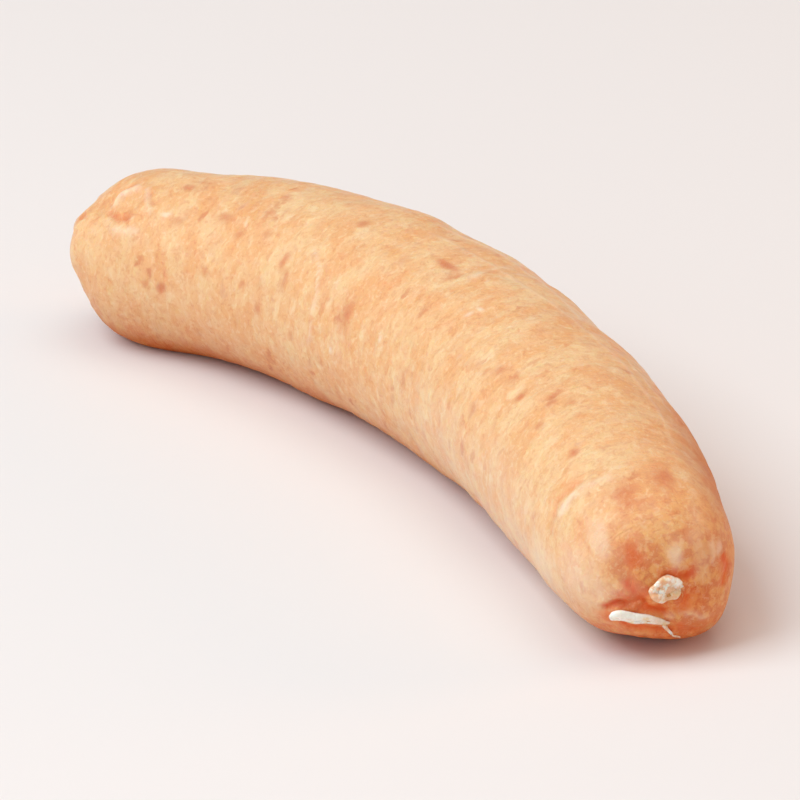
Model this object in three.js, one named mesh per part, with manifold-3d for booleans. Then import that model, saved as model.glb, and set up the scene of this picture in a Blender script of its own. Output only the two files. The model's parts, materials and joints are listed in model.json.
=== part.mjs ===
// One raw sausage in natural casing, lying on its side and bent in one gentle curve.
// Millimetres, +Z up. The tips lie along X, the tied-off near end at +X, and the back of the
// bend faces +Y. The origin is under the middle of the sausage, on the surface it rests on.

import * as THREE from 'three';
import { mergeVertices } from 'three/addons/utils/BufferGeometryUtils.js';
import Module from 'manifold-3d';

// Driving dimensions
const LENGTH = 162;           // tip to tip, along the bent axis
const MIDDLE_DIAMETER = 31.4;   // at the middle of the length
const FAR_DIAMETER = 26;    // what the taper would come to at the far tip, without its dome
const NEAR_DIAMETER = 25.2;     // the same at the near tip
const BEND = 55;              // degrees that the axis turns from tip to tip
const BEND_BIAS = 0.8;        // how much more the far half bends: 0 is even, 1 leaves the near tip straight
const SLUMP = 0.96;           // height of a section over its width, as soft meat sags
const BELLY_SINK = 0.55;      // how much of the underside is pressed flat

// Domes: length along the axis, and bluntness, where 2 is an ellipse and more is squarer
const FAR_DOME = { length: 14.3, bluntness: 2.4 };
const NEAR_DOME = { length: 16, bluntness: 2.8 };

// Gathers of the casing at each end. Aim is the direction the gather faces from the middle of the
// dome: yaw from +X, and pitch from level. Reach and depth say how wide and deep it pulls in.
const NEAR_GATHER = { yaw: -27, pitch: -17, inset: 12, reach: 5.5, depth: 1.2, pleats: 7, pleatDepth: 0.22 };
const FAR_GATHER = { yaw: 210, pitch: 4, inset: 12, reach: 4.5, depth: 0.8, pleats: 6, pleatDepth: 0.2 };
const FAR_DIMPLE = { yaw: 240, pitch: 46, inset: 12.5, reach: 4, depth: 0.7, pleats: 2, pleatDepth: 0.2 };

// Cut ends of the casing that stand out of the gathers: half sizes along, across and out of the
// skin, the shift across and up from the middle of the gather, and the tilt from level
const NEAR_FLAP = { halfSize: [4.1, 1.1, 1.0], shift: [-0.6, -1.4], tilt: -8 };
const NEAR_STUB = { halfSize: [2.3, 1.4, 1.1], shift: [1.2, 2.0], tilt: 15 };
const FAR_STUB = { halfSize: [2.4, 1.3, 1.3], shift: [0, 0], tilt: 35 };

// Slow unevenness of the filling
const LUMPS = [
  { height: 0.14, along: 2.6, around: 1, start: 1.4 },
  { height: 0.11, along: 4.3, around: 2, start: 2.1 },
  { height: 0.06, along: 7.7, around: 3, start: 4 },
];

// Fineness of the mesh
const RINGS = 84;
const SIDES = 44;
const AXIS_STEPS = 400;
const STUB_SEGMENTS = [14, 10];

const UP = new THREE.Vector3(0, 0, 1);

function taper(t) {
  const far = FAR_DIAMETER / 2;
  const middle = MIDDLE_DIAMETER / 2;
  const near = NEAR_DIAMETER / 2;
  return far * (1 - t) * (1 - 2 * t) + middle * 4 * t * (1 - t) + near * t * (2 * t - 1);
}

function dome(distance, { length, bluntness }) {
  const u = Math.min(distance / length, 1);
  return Math.pow(1 - Math.pow(1 - u, bluntness), 1 / bluntness);
}

function radius(s) {
  return taper(s / LENGTH) * dome(s, FAR_DOME) * dome(LENGTH - s, NEAR_DOME);
}

function heading(t) {
  return -THREE.MathUtils.degToRad(BEND) * (t + BEND_BIAS * (t - t * t));
}

// The axis in plan, turned so that its tips lie along X
function makeAxis() {
  const points = [new THREE.Vector2(0, 0)];
  const step = LENGTH / AXIS_STEPS;
  for (let i = 0; i < AXIS_STEPS; i += 1) {
    const h = heading((i + 0.5) / AXIS_STEPS);
    const last = points[i];
    points.push(new THREE.Vector2(last.x + step * Math.cos(h), last.y + step * Math.sin(h)));
  }
  const chord = points[AXIS_STEPS].angle();
  points.forEach((point) => point.rotateAround(points[0], -chord));
  return { points, chord };
}

const axis = makeAxis();

// A point of the axis at distance s, with the direction to its right, in plan
function axisFrame(s) {
  const place = (s / LENGTH) * AXIS_STEPS;
  const i = Math.min(Math.floor(place), AXIS_STEPS - 1);
  const plan = axis.points[i].clone().lerp(axis.points[i + 1], place - i);
  const turn = heading(s / LENGTH) - axis.chord;
  const height = taper(s / LENGTH) * SLUMP - BELLY_SINK;
  return {
    centre: new THREE.Vector3(plan.x, plan.y, height),
    right: new THREE.Vector3(Math.sin(turn), -Math.cos(turn), 0),
  };
}

function lumps(s, angle) {
  const t = s / LENGTH;
  return LUMPS.reduce((sum, lump) => sum
    + lump.height * Math.sin(2 * Math.PI * lump.along * t + lump.around * angle + lump.start), 0);
}

// Profile of the straight sausage, from tip to tip, with its rings closer together at the domes
function profile() {
  const points = [];
  for (let i = 0; i <= RINGS; i += 1) {
    const even = i / RINGS;
    const crowded = (1 - Math.cos(Math.PI * even)) / 2;
    const s = LENGTH * THREE.MathUtils.lerp(even, crowded, 0.7);
    const isTip = i === 0 || i === RINGS;
    points.push(new THREE.Vector2(isTip ? 0 : radius(s), s));
  }
  return points;
}

function direction(yaw, pitch) {
  const flat = THREE.MathUtils.degToRad(yaw);
  const rise = THREE.MathUtils.degToRad(pitch);
  const level = Math.cos(rise);
  return new THREE.Vector3(level * Math.cos(flat), level * Math.sin(flat), Math.sin(rise));
}

function makeGather(spec, tip) {
  const s = tip === 'near' ? LENGTH - spec.inset : spec.inset;
  const { centre } = axisFrame(s);
  const aim = direction(spec.yaw, spec.pitch);
  const across = new THREE.Vector3().crossVectors(UP, aim).normalize();
  const rise = new THREE.Vector3().crossVectors(aim, across);
  return { ...spec, centre, aim, across, rise };
}

const nearGather = makeGather(NEAR_GATHER, 'near');
const farGather = makeGather(FAR_GATHER, 'far');
const farDimple = makeGather(FAR_DIMPLE, 'far');

// Pull a point of the skin in towards the middle of the dome, with pleats that run out of the gather
function pullIn(point, gather) {
  const arm = point.clone().sub(gather.centre);
  const depthAlong = arm.dot(gather.aim);
  if (depthAlong <= 0) {
    return;
  }
  const x = arm.dot(gather.across);
  const y = arm.dot(gather.rise);
  const off = Math.hypot(x, y) / gather.reach;
  const pull = gather.depth * Math.exp(-off * off * 2);
  const pleatFade = off * Math.exp(1 - off * off);
  const pleat = gather.pleatDepth * pleatFade * Math.cos(gather.pleats * Math.atan2(y, x));
  point.addScaledVector(arm.normalize(), pleat - pull);
}

function bendOntoAxis(geometry) {
  const position = geometry.attributes.position;
  const point = new THREE.Vector3();
  for (let i = 0; i < position.count; i += 1) {
    const s = position.getY(i);
    const angle = Math.atan2(position.getZ(i), position.getX(i));
    const bare = Math.hypot(position.getX(i), position.getZ(i));
    const r = bare + lumps(s, angle) * (bare / taper(s / LENGTH));
    const { centre, right } = axisFrame(s);
    point.copy(centre)
      .addScaledVector(right, r * Math.cos(angle))
      .addScaledVector(UP, r * SLUMP * Math.sin(angle));
    pullIn(point, nearGather);
    pullIn(point, farGather);
    pullIn(point, farDimple);
    position.setXYZ(i, point.x, point.y, Math.max(point.z, 0));
  }
}

// Where the skin is, from a point inside it along a gather's aim
function skinPoint(skin, gather, shift) {
  const inside = gather.centre.clone()
    .addScaledVector(gather.across, shift[0])
    .addScaledVector(gather.rise, shift[1]);
  const ray = new THREE.Raycaster(inside, gather.aim);
  const shell = new THREE.Mesh(skin, new THREE.MeshBasicMaterial({ side: THREE.DoubleSide }));
  return ray.intersectObject(shell)[0].point;
}

// A flattened lump of casing that lies half sunk in the skin where a gather faces
function makeStub(skin, gather, { halfSize, shift, tilt }) {
  const stub = new THREE.SphereGeometry(1, ...STUB_SEGMENTS);
  stub.scale(...halfSize);
  const turn = THREE.MathUtils.degToRad(tilt);
  const long = gather.across.clone().applyAxisAngle(gather.aim, turn);
  const wide = gather.rise.clone().applyAxisAngle(gather.aim, turn);
  const lie = new THREE.Matrix4().makeBasis(long, wide, gather.aim);
  return stub.applyMatrix4(lie.setPosition(skinPoint(skin, gather, shift)));
}

const wasm = await Module();
wasm.setup();

function toSolid(geometry) {
  const bare = geometry.clone();
  bare.deleteAttribute('normal');
  bare.deleteAttribute('uv');
  const merged = mergeVertices(bare, 1e-4);
  const index = merged.index.array;
  const triangles = [];
  for (let i = 0; i < index.length; i += 3) {
    const [a, b, c] = [index[i], index[i + 1], index[i + 2]];
    if (a !== b && b !== c && c !== a) {
      triangles.push(a, b, c);
    }
  }
  return new wasm.Manifold(new wasm.Mesh({
    numProp: 3,
    vertProperties: new Float32Array(merged.attributes.position.array),
    triVerts: new Uint32Array(triangles),
  }));
}

function toGeometry(solid) {
  const mesh = solid.getMesh();
  const geometry = new THREE.BufferGeometry();
  geometry.setAttribute('position', new THREE.BufferAttribute(mesh.vertProperties, 3));
  geometry.setIndex(new THREE.BufferAttribute(mesh.triVerts, 1));
  geometry.computeVertexNormals();
  return geometry;
}

function makeSausage() {
  const skin = new THREE.LatheGeometry(profile(), SIDES);
  bendOntoAxis(skin);
  const solid = toSolid(skin)
    .add(toSolid(makeStub(skin, nearGather, NEAR_FLAP)))
    .add(toSolid(makeStub(skin, nearGather, NEAR_STUB)))
    .add(toSolid(makeStub(skin, farGather, FAR_STUB)));
  const geometry = toGeometry(solid);
  geometry.computeBoundingBox();
  const middle = geometry.boundingBox.getCenter(new THREE.Vector3());
  geometry.translate(-middle.x, -middle.y, -geometry.boundingBox.min.z);
  return geometry;
}

const material = new THREE.MeshStandardMaterial({ color: 0xe8b283, roughness: 0.45, metalness: 0 });

const sausage = new THREE.Mesh(makeSausage(), material);
sausage.name = 'sausage';

const model = new THREE.Group();
model.add(sausage);

export default model;
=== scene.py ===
import json
import math

import bpy
import numpy as np
from mathutils import Matrix, Vector, noise

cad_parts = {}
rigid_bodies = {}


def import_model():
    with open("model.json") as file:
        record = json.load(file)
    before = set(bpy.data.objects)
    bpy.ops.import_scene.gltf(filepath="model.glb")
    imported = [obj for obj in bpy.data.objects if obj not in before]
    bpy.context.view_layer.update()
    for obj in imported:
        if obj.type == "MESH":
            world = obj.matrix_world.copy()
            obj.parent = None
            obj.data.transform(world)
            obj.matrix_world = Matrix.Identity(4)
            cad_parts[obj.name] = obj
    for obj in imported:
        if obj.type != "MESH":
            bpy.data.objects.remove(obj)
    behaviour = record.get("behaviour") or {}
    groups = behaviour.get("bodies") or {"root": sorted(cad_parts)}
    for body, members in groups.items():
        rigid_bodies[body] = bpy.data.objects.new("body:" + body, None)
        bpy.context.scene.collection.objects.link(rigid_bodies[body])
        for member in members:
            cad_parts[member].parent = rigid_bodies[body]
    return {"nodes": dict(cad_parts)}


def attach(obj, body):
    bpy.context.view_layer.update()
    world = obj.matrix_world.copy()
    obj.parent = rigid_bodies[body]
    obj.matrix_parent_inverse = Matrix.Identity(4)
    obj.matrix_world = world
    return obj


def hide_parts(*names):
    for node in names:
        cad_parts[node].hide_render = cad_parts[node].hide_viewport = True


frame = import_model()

bl_info = {
    "name": "Raw Sausage",
    "version": (1, 0, 0),
    "blender": (4, 5, 0),
    "location": "3D View > Sidebar > Sausage",
    "description": "Models one raw sausage in natural casing on a pale floor",
    "category": "Add Mesh",
}

MM = 0.001
UP = Vector((0, 0, 1))
CAD_NODE = "sausage"
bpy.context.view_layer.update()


# -------- sizes and colours to change

def srgb(red, green, blue):
    """A colour given as 0 to 255 on a screen, as the linear values that shaders use."""
    channels = []
    for value in (red, green, blue):
        c = value / 255
        channels.append(c / 12.92 if c <= 0.04045 else ((c + 0.055) / 1.055) ** 2.4)
    return tuple(channels)


def length_prop(name, description, length):
    return bpy.props.FloatProperty(name=name, description=description, default=length * MM,
                                   min=0, unit="LENGTH", precision=5)


def angle_prop(name, description, degrees):
    return bpy.props.FloatProperty(name=name, description=description,
                                   default=math.radians(degrees), subtype="ANGLE")


def colour_prop(name, description, *rgb):
    return bpy.props.FloatVectorProperty(name=name, description=description, default=srgb(*rgb),
                                         min=0, max=1, size=3, subtype="COLOR")


def plain_prop(name, description, default):
    return bpy.props.FloatProperty(name=name, description=description, default=default)


class SausageShape(bpy.types.PropertyGroup):
    """The form of the sausage, as the solid has it"""
    length: length_prop("Length", "Tip to tip along the bent axis", 162)
    middle_diameter: length_prop("Middle", "Diameter at the middle", 31.4)
    far_diameter: length_prop("Far end", "Diameter that the taper comes to at the far tip", 26)
    near_diameter: length_prop("Near end", "Diameter that the taper comes to at the near tip", 25.2)
    bend: angle_prop("Bend", "How far the axis turns from tip to tip", 55)
    bend_bias: plain_prop("Bend bias", "How much more the far half bends, 0 to 1", 0.8)
    slump: plain_prop("Slump", "Height of a section over its width", 0.96)
    belly_sink: length_prop("Belly", "How much of the underside is pressed flat", 0.55)


class SausageLooks(bpy.types.PropertyGroup):
    """The colours of the meat and its casing"""
    meat: colour_prop("Meat", "The meat seen through the casing", 234, 172, 119)
    pale: colour_prop("Pale meat", "The fatter patches of the meat", 238, 194, 145)
    rosy: colour_prop("Rosy meat", "The leaner streaks of the meat", 226, 150, 106)
    lean: colour_prop("Lean", "Specks of lean meat", 206, 104, 64)
    fat: colour_prop("Fat", "Flecks of fat", 244, 213, 170)
    # The end faces' colour is partly the deeper meat where the casing gathers and partly painted shade
    end_meat_and_shade: colour_prop("End meat", "Meat where the casing is gathered", 216, 104, 40)
    end_pale: colour_prop("Pale end", "Paler patches there", 236, 164, 88)
    # Painted shade and orange bounce light, laid low down and on the flank
    underside: colour_prop("Underside", "Tints the meat low down and at the flank", 206, 128, 34)
    # The deeper red of the meat in the gathers, partly painted shade at the bottom of folds and creases
    crevice_red_and_shade: colour_prop("Crevice", "The bottom of folds and creases", 226, 84, 4)
    # Fat and doubled casing, partly laid on as painted highlights, glints and painted light
    film_and_highlight: colour_prop("Film", "Fat and doubled casing close to the surface", 245, 222, 198)
    casing: colour_prop("Casing", "The bare ends of the casing", 250, 246, 236)
    clear_casing: colour_prop("Clear casing", "Thin casing with meat behind it", 238, 178, 130)
    casing_shade: colour_prop("Casing shade", "Its yellower folds", 238, 214, 150)


class StageLooks(bpy.types.PropertyGroup):
    """The floor, the lights and the camera"""
    floor: colour_prop("Floor", "Colour of the floor", 234, 225, 224)
    sky: plain_prop("Sky", "Strength of the even light from all round", 0.40)
    azimuth: angle_prop("Azimuth", "The way the camera looks, from +Y", 58.3)
    elevation: angle_prop("Elevation", "How far the camera looks down", 23.4)
    roll: angle_prop("Roll", "How far the camera leans", -2.4)
    distance: length_prop("Distance", "From the camera to the sausage", 1153)
    lens: plain_prop("Lens", "Focal length, in millimetres", 360)


# -------- selecting and editing

def deselect():
    for item in bpy.context.view_layer.objects:
        item.select_set(False)


def activate(item):
    deselect()
    item.select_set(True)
    bpy.context.view_layer.objects.active = item


def select_points(item, chosen):
    """Selects those points of a mesh, in object mode, and nothing else of it."""
    mesh = item.data
    mesh.polygons.foreach_set("select", np.zeros(len(mesh.polygons), bool))
    mesh.edges.foreach_set("select", np.zeros(len(mesh.edges), bool))
    mesh.vertices.foreach_set("select", np.asarray(chosen, bool))
    mesh.update()


def edit(item):
    activate(item)
    bpy.ops.object.mode_set(mode="EDIT")
    bpy.ops.mesh.select_mode(type="VERT")


def done():
    bpy.ops.object.mode_set(mode="OBJECT")


def take_all():
    bpy.ops.mesh.select_all(action="SELECT")


def apply_modifier(item, kind, **values):
    """Adds a modifier, sets it up and applies it, so the shape is in the mesh."""
    activate(item)
    modifier = item.modifiers.new(kind.title(), kind)
    for key, value in values.items():
        setattr(modifier, key, value)
    bpy.ops.object.modifier_apply(modifier=modifier.name)


def subdivide(item, levels=1):
    apply_modifier(item, "SUBSURF", levels=levels, render_levels=levels)


def points_of(mesh):
    co = np.empty(len(mesh.vertices) * 3, np.float32)
    mesh.vertices.foreach_get("co", co)
    return co.reshape(-1, 3).astype(float)


def middle_of_volume(mesh):
    """The middle of the space that a closed mesh holds."""
    mesh.calc_loop_triangles()
    corners = np.empty(len(mesh.loop_triangles) * 3, np.int32)
    mesh.loop_triangles.foreach_get("vertices", corners)
    a, b, c = (points_of(mesh)[corners.reshape(-1, 3)[:, k]] for k in range(3))
    volume = np.einsum("ij,ij->i", a, np.cross(b, c))
    return Vector(((a + b + c) * volume[:, None]).sum(0) / (4 * volume.sum()))


# -------- the sausage's axis and girth

# Each dome: its length along the axis, and how blunt it is
FAR_DOME = (14.3 * MM, 2.4)
NEAR_DOME = (16 * MM, 2.8)
AXIS_STEPS = 400
# How many points are measured against the axis at a time, and how often a place on it is sharpened
BATCH, SHARPENINGS = 8192, 2


def taper(shape, t):
    far, middle, near = (d / 2 for d in (shape.far_diameter, shape.middle_diameter, shape.near_diameter))
    return far * (1 - t) * (1 - 2 * t) + middle * 4 * t * (1 - t) + near * t * (2 * t - 1)


def dome(distance, length, bluntness):
    u = min(distance / length, 1)
    return (1 - (1 - u) ** bluntness) ** (1 / bluntness)


def girth(shape, s):
    """Half the width of the sausage at a distance along its axis."""
    return taper(shape, s / shape.length) * dome(s, *FAR_DOME) * dome(shape.length - s, *NEAR_DOME)


def heading(shape, t):
    return -shape.bend * (t + shape.bend_bias * (t - t * t))


class Axis:
    """The line down the middle of the sausage, in plan, with its tips along X."""

    def __init__(self, shape):
        step = shape.length / AXIS_STEPS
        turns = np.array([heading(shape, (i + 0.5) / AXIS_STEPS) for i in range(AXIS_STEPS)])
        x = np.concatenate([[0], np.cumsum(np.cos(turns)) * step])
        y = np.concatenate([[0], np.cumsum(np.sin(turns)) * step])
        self.chord = math.atan2(y[-1], x[-1])
        cos, sin = math.cos(self.chord), math.sin(self.chord)
        self.x = x * cos + y * sin
        self.y = y * cos - x * sin
        self.s = np.linspace(0, shape.length, AXIS_STEPS + 1)
        self.shape = shape

    def turn(self, s):
        return heading(self.shape, s / self.shape.length) - self.chord

    def height(self, s):
        return taper(self.shape, s / self.shape.length) * self.shape.slump - self.shape.belly_sink

    def place(self, s):
        return np.interp(s, self.s, self.x), np.interp(s, self.s, self.y)

    def centre(self, s):
        return Vector((*self.place(s), self.height(s)))

    def move(self, shift):
        self.x += shift.x
        self.y += shift.y

    def straighten(self, co):
        """For each point: its distance along the axis, and how far it lies left of and above it."""
        line = np.stack([self.x, self.y], 1)
        s = np.empty(len(co))
        for start in range(0, len(co), BATCH):
            part = co[start:start + BATCH, :2]
            gap = ((part[:, None, :] - line[None]) ** 2).sum(2)
            s[start:start + BATCH] = self.s[gap.argmin(1)]
        for _ in range(SHARPENINGS):
            turn = self.turn(s)
            x, y = self.place(s)
            off_x, off_y = co[:, 0] - x, co[:, 1] - y
            s = s + off_x * np.cos(turn) + off_y * np.sin(turn)
        turn = self.turn(s)
        x, y = self.place(s)
        left = (co[:, 1] - y) * np.cos(turn) - (co[:, 0] - x) * np.sin(turn)
        return s, left, co[:, 2] - self.height(s)


# -------- the skin

# Points in a ring, rings along the skin, and how often it is subdivided
SIDES, RINGS, SKIN_LEVELS = 64, 78, 2
# How far the end rings lie from the tips, and how much the rings crowd there
TIP_GAP, RING_CROWDING = 0.05 * MM, 0.55


def ring_places(shape):
    """Distances of the rings along the axis, closer together at the domes."""
    even = np.linspace(0, 1, RINGS + 1)
    crowded = (1 - np.cos(math.pi * even)) / 2
    places = shape.length * (even * (1 - RING_CROWDING) + crowded * RING_CROWDING)
    places[0], places[-1] = TIP_GAP, shape.length - TIP_GAP
    return places.tolist()


def lay_rings(shape, axis):
    """Draws the skin out of one small ring at the far tip, ring by ring along the axis."""
    places = ring_places(shape)
    size = girth(shape, places[0])
    centre = axis.centre(places[0])
    bpy.ops.mesh.primitive_circle_add(vertices=SIDES, radius=size, fill_type="NGON", location=centre,
                                      rotation=(math.pi / 2, 0, axis.turn(places[0]) + math.pi / 2))
    skin = bpy.context.object
    bpy.ops.object.transform_apply()
    edit(skin)
    take_all()
    bpy.ops.mesh.poke()
    take_all()
    bpy.ops.transform.resize(value=(1, 1, shape.slump), center_override=centre)
    done()
    ring = np.ones(len(skin.data.vertices), bool)
    ring[-1] = False
    select_points(skin, ring)
    edit(skin)
    for before, place in zip(places, places[1:]):
        next_size, next_centre = girth(shape, place), axis.centre(place)
        bpy.ops.mesh.extrude_edges_move(TRANSFORM_OT_translate={"value": next_centre - centre})
        turn = axis.turn(place) - axis.turn(before)
        bpy.ops.transform.rotate(value=-turn, orient_axis="Z", center_override=next_centre)
        bpy.ops.transform.resize(value=(next_size / size,) * 3, center_override=next_centre)
        size, centre = next_size, next_centre
    bpy.ops.mesh.edge_face_add()
    bpy.ops.mesh.poke()
    take_all()
    bpy.ops.mesh.normals_make_consistent(inside=False)
    done()
    return skin


def flatten_belly(skin):
    """Presses the underside onto the surface that the sausage lies on."""
    select_points(skin, points_of(skin.data)[:, 2] < 0)
    edit(skin)
    bpy.ops.transform.resize(value=(1, 1, 0), center_override=(0, 0, 0))
    done()


# The least share of the greatest height that a point is moved for
WORTH_MOVING = 0.0005


def carve(item, heights):
    """Moves the points of a mesh out or in along their normals, by heights in metres."""
    for side, sign in (("rise", 1), ("sink", -1)):
        amount = np.clip(heights * sign, 0, None)
        most = float(amount.max())
        if most == 0:
            continue
        group = item.vertex_groups.new(name=side)
        for i in np.nonzero(amount > most * WORTH_MOVING)[0].tolist():
            group.add([i], float(amount[i]) / most, "REPLACE")
        apply_modifier(item, "DISPLACE", strength=sign * most, mid_level=0, vertex_group=side)
        item.vertex_groups.clear()


def bell(distance, width):
    return np.exp(-(distance / width) ** 2)


def ramp(value, low, high):
    u = np.clip((value - low) / (high - low), 0, 1)
    return u * u * (3 - 2 * u)


def noise_at(*coords):
    """Smooth noise, -1 to 1, at every point."""
    return np.array([noise.noise(place) for place in np.stack(coords, 1).tolist()])


class Lay:
    """Where each point of the skin lies: along the axis, and round it."""

    def __init__(self, axis, skin):
        self.co = points_of(skin.data)
        self.s, self.left, self.up = axis.straighten(self.co)
        self.angle = np.degrees(np.arctan2(self.up, self.left)) % 360
        self.radius = np.hypot(self.left, self.up)
        self.cos, self.sin = np.cos(np.radians(self.angle)), np.sin(np.radians(self.angle))

    def place(self, s, angle):
        """The point of the skin nearest to a distance in mm along and an angle in degrees round."""
        off = np.abs((self.angle - angle + 180) % 360 - 180)
        gap = np.hypot(self.s - s * MM, np.radians(off) * np.maximum(self.radius, MM))
        return self.co[gap.argmin()]

    def near(self, s, angle):
        """How far every point is from a place on the skin."""
        return np.linalg.norm(self.co - self.place(s, angle), axis=1)


# Slow unevenness of the filling: height, waves along, waves round, start
LUMPS = ((0.14 * MM, 2.6, 1, 1.4), (0.11 * MM, 4.3, 2, 2.1), (0.06 * MM, 7.7, 3, 4.0))


def lump_heights(shape, lay):
    t = lay.s / shape.length
    total = sum(height * np.sin(2 * math.pi * along * t + around * np.radians(180 - lay.angle) + start)
                for height, along, around, start in LUMPS)
    full = np.array([taper(shape, value) for value in t.tolist()])
    return total * np.clip(lay.radius / full, 0, 1)


# Local swellings and hollows: mm along, degrees round, height in mm, reach in mm, and how flat
# the top is
SWELLINGS = (
    (2.0, 150, 1.35, 4.8, 4), (6.6, 119, -0.9, 3.4, 2), (3.3, 222, -0.7, 3.2, 2), (16, 242, 0.5, 6, 2),
    (11.5, 122, -0.55, 3.2, 2), (9.3, 116, 0.4, 1.5, 2), (12.0, 146, 0.25, 2.6, 2),
    (18, 60, -0.8, 7, 2), (60, 57, 0.8, 8, 2), (77, 48, 0.4, 7, 2), (53, 231, 0.5, 5, 2),
    (92, 231, 0.4, 6, 2), (99, 45, -0.5, 6, 2), (130, 34, 0.4, 8, 2), (150, 8, -1.1, 7, 2),
    (149, 228, -0.5, 5, 2), (155.5, 256, -1.25, 6, 2), (157.5, 312, 0.9, 4.5, 2),
    (70, 120, 0.25, 9, 2), (112, 150, 0.2, 10, 2),
    (38, 160, 0.2, 8, 2), (138, 100, 0.2, 7, 2), (86, 185, -0.2, 8, 2), (30, 350, 0.35, 9, 2),
    (66, 330, -0.35, 8, 2), (104, 345, 0.3, 10, 2), (128, 300, -0.3, 8, 2), (46, 100, -0.15, 7, 2),
)
# How far the low side bulges, and how low it starts and is full
SAG = (0.45 * MM, 0.25, 0.85)


def swell_heights(lay):
    sag, start, full = SAG
    heights = sag * ramp(-lay.sin, start, full)
    for s, angle, height, reach, flatness in SWELLINGS:
        heights += height * MM * np.exp(-(lay.near(s, angle) / (reach * MM)) ** flatness)
    return heights


def from_heading(heading, rise, distance=1):
    flat, up = math.radians(heading), math.radians(rise)
    level = math.cos(up)
    return Vector((level * math.cos(flat), level * math.sin(flat), math.sin(up))) * distance


# The way each gather faces, in degrees round and up, and how far in the dome's middle lies
GATHER_AIMS = {"near": (-27, -17), "far": (210, 4)}
GATHER_INSET = 12 * MM


class Gather:
    """A place where the casing is drawn together, seen from the middle of the dome."""

    def __init__(self, shape, axis, end):
        self.centre = axis.centre(shape.length - GATHER_INSET if end == "near" else GATHER_INSET)
        self.aim = from_heading(*GATHER_AIMS[end])
        self.across = UP.cross(self.aim).normalized()
        self.rise = self.aim.cross(self.across)

    def plane(self, co):
        """For each point: mm that it lies across, up and out from the middle of the dome."""
        arm = (co - np.array(self.centre)) / MM
        return arm @ np.array(self.across), arm @ np.array(self.rise), arm @ np.array(self.aim)


def line_gap(x, y, places):
    """How far points lie from a line through places, and how far along it, 0 to 1."""
    best = np.full(len(x), np.inf)
    along = np.zeros(len(x))
    for k, ((ax, ay), (bx, by)) in enumerate(zip(places, places[1:])):
        dx, dy = bx - ax, by - ay
        u = np.clip(((x - ax) * dx + (y - ay) * dy) / (dx * dx + dy * dy), 0, 1)
        gap = np.hypot(x - ax - u * dx, y - ay - u * dy)
        nearer = gap < best
        best = np.where(nearer, gap, best)
        along = np.where(nearer, (k + u) / (len(places) - 1), along)
    return best, along


# A groove's lips for its depth, and how far an edge wavers and a line strays, in mm
LIP_SHARE, LINE_WANDER, STRAY = 0.35, 0.22, 0.9
# Where a line comes in and goes out along it, and how much wider than its shape its colour is
LINE_IN, LINE_OUT, COLOUR_REACH = (-0.01, 0.16), (0.84, 1.01), 1.1
# How much more the edges of spots waver, and over which mm out from a dome its marks come in
GATHER_WAVER, BODY_WAVER, FACING = 1.5, 1.3, (0, 3)


class Relief:
    """Collects the heights, and the masks for colour, that lines and spots leave on the skin."""

    def __init__(self, count):
        self.heights = np.zeros(count)
        # pale: fat and doubled casing, partly painted highlights and glints
        # red: the deeper red meat of the gathers, partly painted shade in folds and creases
        self.masks = {name: np.zeros(count) for name in ("red", "pale", "lean")}

    def paint(self, mask, amount):
        self.masks[mask] = np.maximum(self.masks[mask], amount)

    def line(self, x, y, places, height, width, mask, strength, wander, part=1):
        """A groove with lips where height is below 0, and a ridge where it is above. All in mm."""
        gap, along = line_gap(x, y, places)
        gap = np.clip(gap + LINE_WANDER * wander, 0, None)
        fade = ramp(along, *LINE_IN) * (1 - ramp(along, *LINE_OUT)) * part
        lips = LIP_SHARE * bell(gap - 2 * width, width) if height < 0 else 0
        body = bell(gap, width) - lips
        self.heights += height * MM * fade * body
        if mask:
            self.paint(mask, strength * fade * bell(gap, width * COLOUR_REACH))

    def spot(self, x, y, place, size, height, mask, strength, wander, part=1):
        """A bump or a hollow with a colour, at a place, size mm across and up."""
        gap = np.hypot((x - place[0]) / size[0], (y - place[1]) / size[1])
        body = np.exp(-np.clip(gap + LINE_WANDER * wander, 0, None) ** 3) * part
        self.heights += height * MM * body
        self.paint(mask, strength * body)


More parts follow.
